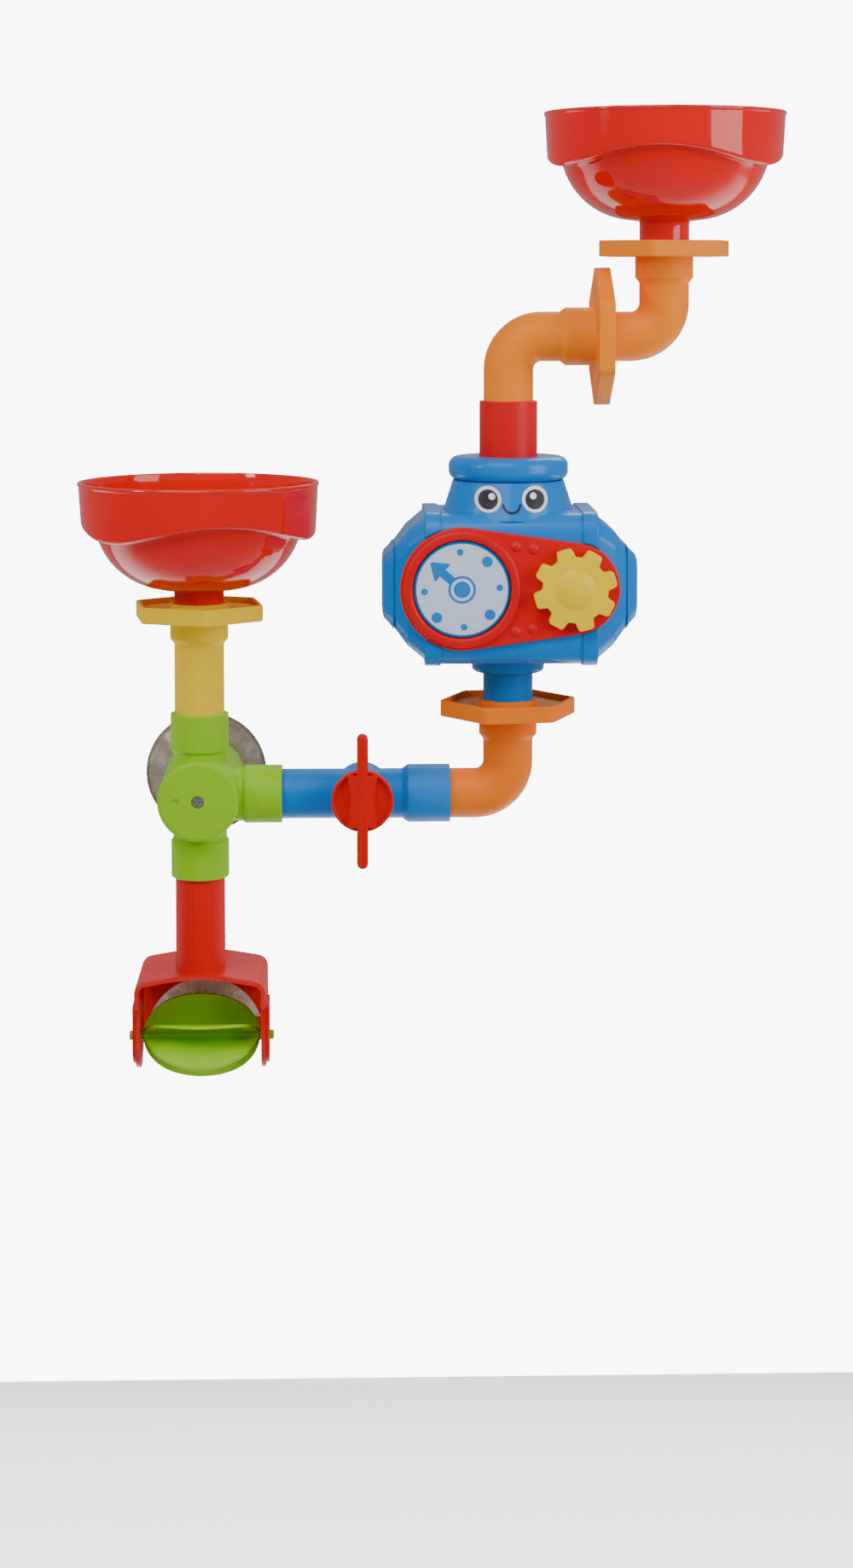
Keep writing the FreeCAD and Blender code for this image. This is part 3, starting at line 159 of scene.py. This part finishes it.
cup_vinyl = soft_clear_vinyl("smoky_vinyl")
cup_radius = 0.0309
spoke_spread = 2
depth_spread = 20
cup_segments = 96
cup_back = [(0.0, 0.0053), (0.006, 0.0052), (0.012, 0.0048), (0.018, 0.0038), (0.024, 0.002),
            (0.0278, 0.0001)]
cup_rim = [(0.0284, 0.0), (0.0304, 0.0), (0.0308, 0.0003), (0.0308, 0.0008), (0.0304, 0.00115)]
cup_dome = [(0.0296, 0.0014), (0.0275, 0.0026), (0.025, 0.0041), (0.0222, 0.0055), (0.019, 0.0067),
            (0.0158, 0.0076), (0.0126, 0.0082), (0.0102, 0.0086), (0.0092, 0.0088), (0.008, 0.00895)]
cup_stem = [(0.0054, 0.0089), (0.0051, 0.0092), (0.0051, 0.0119), (0.0069, 0.0121), (0.0071, 0.0126),
            (0.0066, 0.0148), (0.0060, 0.0154), (0.0, 0.0155)]
for mount in frame["record"]["mounts"]:
    cup = mount["name"].removesuffix("_face")
    centre = Vector(mount["pos_m"])
    soft_cup = turned_piece(cup + "_vinyl", cup_back + cup_rim + cup_dome + cup_stem, centre,
                            Vector((0, -1, 0)), cup_segments, cup_vinyl)
    on_cup = soft_cup.data.attributes.new("on_cup", "FLOAT_VECTOR", "POINT")
    spots = []
    for vertex in soft_cup.data.vertices:
        out = vertex.co - centre
        reach = math.hypot(out.x, out.z) / cup_radius
        spots += [math.atan2(out.z, out.x) * spoke_spread, reach, out.y * depth_spread]
    on_cup.data.foreach_set("vector", spots)
    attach(soft_cup, "root")
    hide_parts(cup)

# ---- Tee ------------------------------------------------------------------------------------
# A round junction box with three sockets, injection moulded in lime green with a satin tool
# finish. Its back half carries the suction cup and one long steel screw holds the two together.


def moulded(name, colour, roughness, grain, drift=0.05, wave=0.0, coat=0.0, edge=0.0005):
    """Coloured plastic: slow colour drift, tool grain, rub marks, and slightly rounded paler edges."""
    material = bpy.data.materials.new(name)
    material.use_nodes = True
    tree = material.node_tree
    shader = tree.nodes["Principled BSDF"]
    shader.inputs["IOR"].default_value = 1.49
    shader.inputs["Specular IOR Level"].default_value = 0.2
    shader.inputs["Coat Weight"].default_value = coat
    shader.inputs["Coat Roughness"].default_value = 0.04
    place = tree.nodes.new("ShaderNodeTexCoord")
    flow = tree.nodes.new("ShaderNodeTexNoise")
    flow.inputs["Scale"].default_value = 22.0
    flow.inputs["Detail"].default_value = 3.0
    join(tree, place.outputs["Object"], flow.inputs["Vector"])
    drifted = tree.nodes.new("ShaderNodeMix")
    drifted.data_type = "RGBA"
    drifted.inputs["A"].default_value = (*[c * (1 - drift) for c in colour], 1)
    drifted.inputs["B"].default_value = (*[min(1.0, c * (1 + drift) + 0.004) for c in colour], 1)
    join(tree, flow.outputs["Fac"], drifted.inputs["Factor"])
    shape = tree.nodes.new("ShaderNodeNewGeometry")
    # Sharp convex edges, found by pointiness, are mixed a little towards a paler colour.
    paled_edges = tree.nodes.new("ShaderNodeMapRange")
    paled_edges.inputs["From Min"].default_value = 0.53
    paled_edges.inputs["From Max"].default_value = 0.62
    paled_edges.inputs["To Max"].default_value = 0.1
    join(tree, shape.outputs["Pointiness"], paled_edges.inputs["Value"])
    edged = tree.nodes.new("ShaderNodeMix")
    edged.data_type = "RGBA"
    edged.inputs["B"].default_value = (*[min(1.0, c * 0.8 + 0.25) for c in colour], 1)
    join(tree, paled_edges.outputs["Result"], edged.inputs["Factor"])
    join(tree, drifted.outputs["Result"], edged.inputs["A"])
    join(tree, edged.outputs["Result"], shader.inputs["Base Color"])
    rubs = tree.nodes.new("ShaderNodeTexNoise")
    rubs.inputs["Scale"].default_value = 95.0
    rubs.inputs["Detail"].default_value = 6.0
    rubs.inputs["Distortion"].default_value = 0.6
    join(tree, place.outputs["Object"], rubs.inputs["Vector"])
    rubbed = tree.nodes.new("ShaderNodeMapRange")
    rubbed.inputs["From Min"].default_value = 0.35
    rubbed.inputs["From Max"].default_value = 0.72
    rubbed.inputs["To Min"].default_value = roughness
    rubbed.inputs["To Max"].default_value = min(1.0, roughness * 1.3 + 0.02)
    join(tree, rubs.outputs["Fac"], rubbed.inputs["Value"])
    join(tree, rubbed.outputs["Result"], shader.inputs["Roughness"])
    pebble = tree.nodes.new("ShaderNodeTexNoise")
    pebble.inputs["Scale"].default_value = 1500.0
    pebble.inputs["Detail"].default_value = 2.0
    join(tree, place.outputs["Object"], pebble.inputs["Vector"])
    sink = tree.nodes.new("ShaderNodeTexNoise")
    sink.inputs["Scale"].default_value = 32.0
    sink.inputs["Detail"].default_value = 1.0
    join(tree, place.outputs["Object"], sink.inputs["Vector"])
    wavy = tree.nodes.new("ShaderNodeBump")
    wavy.inputs["Strength"].default_value = wave
    wavy.inputs["Distance"].default_value = 0.0016
    join(tree, sink.outputs["Fac"], wavy.inputs["Height"])
    rounded = tree.nodes.new("ShaderNodeBevel")
    rounded.samples = 6
    rounded.inputs["Radius"].default_value = edge
    join(tree, rounded.outputs["Normal"], wavy.inputs["Normal"])
    relief = tree.nodes.new("ShaderNodeBump")
    relief.inputs["Strength"].default_value = grain
    relief.inputs["Distance"].default_value = 0.00012
    join(tree, pebble.outputs["Fac"], relief.inputs["Height"])
    join(tree, wavy.outputs["Normal"], relief.inputs["Normal"])
    join(tree, relief.outputs["Normal"], shader.inputs["Normal"])
    return material


def dress(material, *nodes):
    """Gives each named node of the assembly its material."""
    for node in nodes:
        solid = frame["nodes"][node]
        for place in solid.material_slots:
            place.material = material


lime = moulded("lime_satin", (0.27, 0.6, 0.0), 0.42, 0.5, wave=0.12)
dress(lime, "tee_body", "tee_base")


def screw_metal(name):
    """Zinc-plated steel, turned and slightly scratched."""
    material = bpy.data.materials.new(name)
    material.use_nodes = True
    tree = material.node_tree
    shader = tree.nodes["Principled BSDF"]
    shader.inputs["Metallic"].default_value = 1.0
    place = tree.nodes.new("ShaderNodeTexCoord")
    scratch = tree.nodes.new("ShaderNodeTexNoise")
    scratch.inputs["Scale"].default_value = 700.0
    scratch.inputs["Detail"].default_value = 8.0
    join(tree, place.outputs["Object"], scratch.inputs["Vector"])
    tone = tree.nodes.new("ShaderNodeValToRGB")
    tone.color_ramp.elements[0].color = (0.16, 0.155, 0.15, 1)
    tone.color_ramp.elements[1].color = (0.62, 0.61, 0.58, 1)
    join(tree, scratch.outputs["Fac"], tone.inputs["Fac"])
    join(tree, tone.outputs["Color"], shader.inputs["Base Color"])
    rough = tree.nodes.new("ShaderNodeMapRange")
    rough.inputs["To Min"].default_value = 0.22
    rough.inputs["To Max"].default_value = 0.5
    join(tree, scratch.outputs["Fac"], rough.inputs["Value"])
    join(tree, rough.outputs["Result"], shader.inputs["Roughness"])
    return material


zinc = screw_metal("zinc_steel")
dress(zinc, "tee_screw", "body_screws")

# ---- Spout yoke -----------------------------------------------------------------------------
# The red spout pipe with its bent hood, two ears for the wheel's axle and a back wall, moulded
# in one piece and pushed into the tee from below. Smooth, semi-gloss polypropylene.
spout_red = moulded("spout_red", (0.72, 0.0, 0.0), 0.3, 0.25, wave=0.15)
dress(spout_red, "spout_yoke")

# ---- Splash wheel ---------------------------------------------------------------------------
# Six scooped blades and their axle, moulded in one piece in a thin, slightly translucent green.
# The axle ends snap into the yoke's ears, so the wheel spins freely under the spout.


def wheel_green(name, axle):
    """Thin green plastic, darker near the hub as painted shade between the blades and yellower towards the
    blade tips as painted light shining through the thin plastic.
    """
    material = moulded(name, (0.25, 0.55, 0.0), 0.34, 0.35, wave=0.1)
    tree = material.node_tree
    shader = tree.nodes["Principled BSDF"]
    # The moulded base colour, with its paler convex edges.
    paled_edges = shader.inputs["Base Color"].links[0].from_socket
    place = tree.nodes.new("ShaderNodeTexCoord")
    local = tree.nodes.new("ShaderNodeVectorMath")
    local.operation = "SUBTRACT"
    local.inputs[1].default_value = axle
    join(tree, place.outputs["Object"], local.inputs[0])
    flat = tree.nodes.new("ShaderNodeVectorMath")
    flat.operation = "MULTIPLY"
    flat.inputs[1].default_value = (0.0, 1.0, 1.0)
    join(tree, local.outputs[0], flat.inputs[0])
    far = tree.nodes.new("ShaderNodeVectorMath")
    far.operation = "LENGTH"
    join(tree, flat.outputs[0], far.inputs[0])
    # Painted shade and light: the ramp below darkens the green towards the hub, where the blades shade it,
    # and yellows it towards the blade tips, as light shining through the thin plastic.
    share = tree.nodes.new("ShaderNodeMapRange")
    share.inputs["From Min"].default_value = 0.003
    share.inputs["From Max"].default_value = 0.0216
    join(tree, far.outputs["Value"], share.inputs["Value"])
    hub_shade_tip_glow = tree.nodes.new("ShaderNodeValToRGB")
    hub_shade_tip_glow.color_ramp.elements[0].color = (0.16, 0.52, 0.0, 1)
    hub_shade_tip_glow.color_ramp.elements[1].color = (0.36, 0.68, 0.0, 1)
    middle = hub_shade_tip_glow.color_ramp.elements.new(0.55)
    middle.color = (0.27, 0.62, 0.0, 1)
    join(tree, share.outputs["Result"], hub_shade_tip_glow.inputs["Fac"])
    blend = tree.nodes.new("ShaderNodeMix")
    blend.data_type = "RGBA"
    blend.inputs["Factor"].default_value = 0.8
    join(tree, paled_edges, blend.inputs["A"])
    join(tree, hub_shade_tip_glow.outputs["Color"], blend.inputs["B"])
    join(tree, blend.outputs["Result"], shader.inputs["Base Color"])
    return material


joint_spots = {joint["name"]: Vector(joint["pos_m"]) for joint in frame["record"]["behaviour"]["joints"]}
dress(wheel_green("wheel_green", joint_spots["splash_wheel_spin"]), "splash_wheel")

# ---- Yellow pipe ----------------------------------------------------------------------------
# A straight pipe with a socket and a six-sided tray flange at its top, pushed into the tee so
# that a child can turn it. Yellow, with the fine pebbled surface of an eroded mould.
yellow = moulded("yellow_satin", (0.9, 0.6, 0.0), 0.44, 0.8, wave=0.1)
dress(yellow, "yellow_pipe")

# ---- Left funnel ----------------------------------------------------------------------------
# A deep pouring bowl on a short neck, moulded in polished red. The upper band stands out from
# the bowl, and its lower edge runs round in three slow waves below a thin rolled rim.
bowl_height = 0.053
bowl_reach = 0.0513
bowl_depth = 0.037
bowl_wall = 0.0018
bowl_steps = 18
bowl_spacing = 1.7
neck_height = 0.0225
neck_radius = 0.0122
drain_radius = 0.0102
band_outside = 0.0574
band_inside = 0.0557
band_round = 0.0021
band_hollow = 0.0014
rim_radius = 0.059
wave_count = 3
wave_low = 0.0256
wave_climb = 0.0088
funnel_segments = 180


def bowl_radius(height, inset):
    """Radius of the bowl's side at a height above its bottom."""
    share = max(0.0, min(1.0, (height - inset) / bowl_depth))
    fullness = math.sin(math.acos(max(-1.0, 1 - share * 0.985))) ** 0.93
    return neck_radius + (bowl_reach - inset - neck_radius) * fullness


def funnel_profile(turn):
    """Profile maker for the funnel: outside from the neck up, over the rim and down the inside."""
    def profile(angle):
        around = math.cos(wave_count * (angle - turn))
        edge = wave_low + wave_climb * (0.5 + 0.5 * around) ** 0.85
        ring = [(0.0104, 0.0), (0.0119, 0.0), (neck_radius, 0.0003), (neck_radius, 0.006)]
        ring += [(neck_radius, 0.013), (neck_radius, neck_height - 0.0012), (0.0125, neck_height - 0.0004)]
        for step in range(1, bowl_steps + 1):
            height = edge * (step / bowl_steps) ** bowl_spacing
            ring.append((bowl_radius(height, 0.0), neck_height + height))
        side = bowl_radius(edge, 0.0)
        floor = neck_height + edge
        ring[-1] = (side, floor - 0.0007)
        ring += [(side + 0.0003, floor - 0.0002), (side + 0.0009, floor)]
        ring += arc((band_outside - band_round, floor + band_round), band_round, -90, 0, 6)
        rim = neck_height + bowl_height
        band_foot = floor + band_round
        for share in (0.3, 0.6, 0.9):
            ring.append((band_outside + 0.001 * share, band_foot + (rim - 0.0026 - band_foot) * share))
        ring += [(0.0584, rim - 0.0022), (0.0588, rim - 0.0018), (rim_radius, rim - 0.0012)]
        ring += [(0.05895, rim - 0.0005), (0.0586, rim - 0.0001), (0.0577, rim), (0.057, rim - 0.0002)]
        ring += [(0.0567, rim - 0.001), (0.0565, rim - 0.004)]
        ring += [(0.0561, floor + 0.012), (band_inside, floor + 0.0036)]
        ring += arc((band_inside - band_hollow, floor + 0.0032), band_hollow, 0, -90, 4)
        inner = bowl_radius(edge + bowl_wall, bowl_wall)
        ring += [(inner + 0.0012, floor + bowl_wall), (inner, floor + 0.0011)]
        for step in range(bowl_steps - 1, 0, -1):
            height = bowl_wall + edge * (step / bowl_steps) ** bowl_spacing
            ring.append((bowl_radius(height, bowl_wall), neck_height + height))
        ring += [(0.0104, neck_height + 0.0014), (drain_radius, neck_height)]
        ring += [(drain_radius, 0.012), (drain_radius, 0.0003)]
        return ring
    return profile


funnel_red = moulded("funnel_red", (0.78, 0.0, 0.0), 0.07, 0.03, drift=0.03, wave=0.1, coat=0.4)


def funnel(name, node, axis, turn):
    """Makes one pouring bowl on its turning axis, standing on the foot of its CAD node."""
    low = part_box(node)[0]
    place = Vector((axis.x, axis.y, low.z))
    bowl = turned_piece(name, funnel_profile(turn), place, Vector((0, 0, 1)), funnel_segments, funnel_red)
    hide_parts(node)
    return bowl


left_waves = math.radians(14 - 90)
left_bowl = funnel("left_pouring_bowl", "left_funnel", joint_spots["left_funnel_turn"], left_waves)
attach(left_bowl, "left_bowl")

# ---- Valve pipe and its handle --------------------------------------------------------------
# Blue level pipe with a round valve boss. A red plug turns in it behind a screwless snap-in cap,
# and a red two-winged handle sits on the plug's flatted stem. A black ring seals the stem.
pipe_blue = moulded("pipe_blue", (0.0, 0.19, 0.62), 0.36, 0.45, wave=0.12)
dress(pipe_blue, "valve_pipe", "valve_cap")
handle_red = moulded("handle_red", (0.7, 0.0, 0.0), 0.3, 0.3, wave=0.12)
dress(handle_red, "valve_plug", "valve_handle")
dress(moulded("seal_rubber", (0.02, 0.02, 0.02), 0.55, 0.5), "valve_seal")

# ---- Lower elbow ----------------------------------------------------------------------------
# Orange quarter bend from the valve pipe up to the pump, with the same tray flange round its
# socket. Pushed in by hand, and moulded with the pebbled satin surface of all the elbows.
orange = moulded("orange_satin", (0.95, 0.2, 0.0), 0.42, 0.8, wave=0.1)
dress(orange, "low_elbow")

# ---- Pump body ------------------------------------------------------------------------------
# Barrel-shaped pump in two blue half shells, screwed together from behind. Its outlet is held
# in the bottom, and a fat ring round the neck keeps the red upright socket in place.
body_blue = moulded("body_blue", (0.0, 0.2, 0.64), 0.26, 0.2, wave=0.18, coat=0.2, edge=0.0014)
dress(body_blue, "front_shell", "rear_shell", "neck_ring", "outlet_spigot")
sleeve_red = moulded("sleeve_red", (0.72, 0.0, 0.006), 0.36, 0.35, wave=0.1)
dress(sleeve_red, "red_sleeve")

# ---- Gear train -----------------------------------------------------------------------------
# Inside the pump a white paddle wheel turns the dial's shaft, and a pair of equal white gears
# turns the yellow knob's shaft the other way. Uncoloured acetal, hidden by the shells.
acetal = moulded("white_acetal", (0.8, 0.8, 0.77), 0.32, 0.2)
dress(acetal, "water_wheel", "dial_shaft", "dial_gear", "knob_shaft", "knob_gear")

# ---- Face panel -----------------------------------------------------------------------------
# Red tear-drop plate with a round bead for the dial and four half-round rivets, whose pins are
# pressed into the front shell.
panel_red = moulded("panel_red", (0.68, 0.0, 0.006), 0.3, 0.3, wave=0.12)
dress(panel_red, "face_panel")

# ---- Dial -----------------------------------------------------------------------------------
# Blue disc with a pale printed label: seven dots, an arrow and a hub ring. It spins with the
# paddle wheel behind it.
dial_blue = moulded("dial_blue", (0.0, 0.2, 0.62), 0.24, 0.15)
dress(dial_blue, "dial_disc")
label_pale = moulded("label_pale", (0.62, 0.72, 0.9), 0.3, 0.15, drift=0.02)
dress(label_pale, "dial_label")
mark_blue = moulded("mark_blue", (0.0, 0.2, 0.64), 0.3, 0.1, drift=0.02)
dress(mark_blue, "dial_marks")

# ---- Gear knob ------------------------------------------------------------------------------
# Yellow eight-toothed knob with a domed middle, pressed on the second shaft. Turned by hand, it
# drives the dial, and it spins by itself when water falls through the pump.
knob_yellow = moulded("knob_yellow", (0.95, 0.64, 0.0), 0.3, 0.25, wave=0.1)
dress(knob_yellow, "gear_knob")

# ---- Printed face ---------------------------------------------------------------------------
# A plain smiling face, pad printed on the neck cone: white eyes with black pupils and white
# glints, and a short curved mouth.
print_white = moulded("print_white", (0.92, 0.95, 1.0), 0.3, 0.15, drift=0.02)
dress(print_white, "eye_whites", "eye_glints")
print_black = moulded("print_black", (0.012, 0.012, 0.018), 0.28, 0.15)
dress(print_black, "smile_and_pupils")

# ---- Upper elbows ---------------------------------------------------------------------------
# Two more orange bends. The first swings round in the red socket, and the second tips in the
# first, so that the bowl above can be set in many places.
bright_orange = moulded("bright_orange_satin", (1.0, 0.25, 0.0), 0.42, 0.8, wave=0.1)
dress(bright_orange, "mid_elbow", "top_elbow")

# ---- Right funnel ---------------------------------------------------------------------------
# The same pouring bowl as on the left, in polished red, pushed into the upper elbow's socket so
# that it turns by hand. Its waves stand a little further round than the left bowl's.
right_waves = math.radians(-8 - 90)
right_bowl = funnel("right_pouring_bowl", "right_funnel", joint_spots["right_funnel_turn"], right_waves)
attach(right_bowl, "right_bowl")

# ---- Floor, lights and camera ---------------------------------------------------------------
# A plain white studio: pale floor well below, soft light all round, a large window on the right
# and a small one on the left, which give the bowls their reflections.
floor_mesh = bpy.data.meshes.new("floor")
floor_height = -0.9
floor_corners = [(x, y, floor_height) for x, y in ((-4, -4), (4, -4), (4, 1.4), (-4, 1.4))]
floor_mesh.from_pydata(floor_corners, [], [(0, 1, 2, 3)])
floor = bpy.data.objects.new("floor", floor_mesh)
bpy.context.scene.collection.objects.link(floor)
pale = bpy.data.materials.new("pale_floor")
pale.use_nodes = True
pale.node_tree.nodes["Principled BSDF"].inputs["Base Color"].default_value = (0.9, 0.9, 0.9, 1)
pale.node_tree.nodes["Principled BSDF"].inputs["Roughness"].default_value = 0.9
floor_mesh.materials.append(pale)

world = bpy.data.worlds.new("studio")
world.use_nodes = True
soft_fill = world.node_tree.nodes["Background"]
soft_fill.inputs["Color"].default_value = (1, 1, 1, 1)
soft_fill.inputs["Strength"].default_value = 0.36
white_wall = world.node_tree.nodes.new("ShaderNodeBackground")
white_wall.inputs["Color"].default_value = (1, 1, 1, 1)
white_wall.inputs["Strength"].default_value = 9.0
seen = world.node_tree.nodes.new("ShaderNodeLightPath")
choice = world.node_tree.nodes.new("ShaderNodeMixShader")
join(world.node_tree, seen.outputs["Is Camera Ray"], choice.inputs[0])
join(world.node_tree, soft_fill.outputs["Background"], choice.inputs[1])
join(world.node_tree, white_wall.outputs["Background"], choice.inputs[2])
join(world.node_tree, choice.outputs["Shader"], world.node_tree.nodes["World Output"].inputs["Surface"])
bpy.context.scene.world = world


def window(name, place, target, size, power):
    """Soft oblong lamp at a place, facing a target, with its size in metres and power in watts."""
    lamp = bpy.data.lights.new(name, "AREA")
    lamp.shape = "RECTANGLE"
    lamp.size, lamp.size_y = size
    lamp.energy = power
    holder = bpy.data.objects.new(name, lamp)
    holder.location = place
    holder.rotation_mode = "QUATERNION"
    holder.rotation_quaternion = (Vector(target) - Vector(place)).to_track_quat("-Z", "Y")
    bpy.context.scene.collection.objects.link(holder)


window("right_window", (0.95, -0.62, 0.36), (0.1, -0.06, 0.3), (0.55, 0.62), 6)
window("left_window", (-0.55, -0.45, 0.42), (0.2, -0.06, 0.32), (0.12, 0.2), 1.5)
window("top_light", (-0.2, -0.9, 1.1), (0.1, -0.06, 0.1), (0.9, 0.9), 9)
window("floor_light", (0.0, 0.8, -0.6), (0.0, 0.8, floor_height), (5.0, 1.2), 60)
window("back_light", (0.5, 1.0, 1.0), (0.1, -0.06, 0.1), (0.8, 0.8), 7)

camera = bpy.data.cameras.new("camera")
camera.lens = 62.54
camera.shift_y = -0.22
view_point = bpy.data.objects.new("camera", camera)
view_point.location = (0.074, -1.391, 0.256)
view_point.rotation_euler = (math.radians(90 - 3.493), 0, math.radians(-1.613))
bpy.context.scene.collection.objects.link(view_point)
bpy.context.scene.camera = view_point
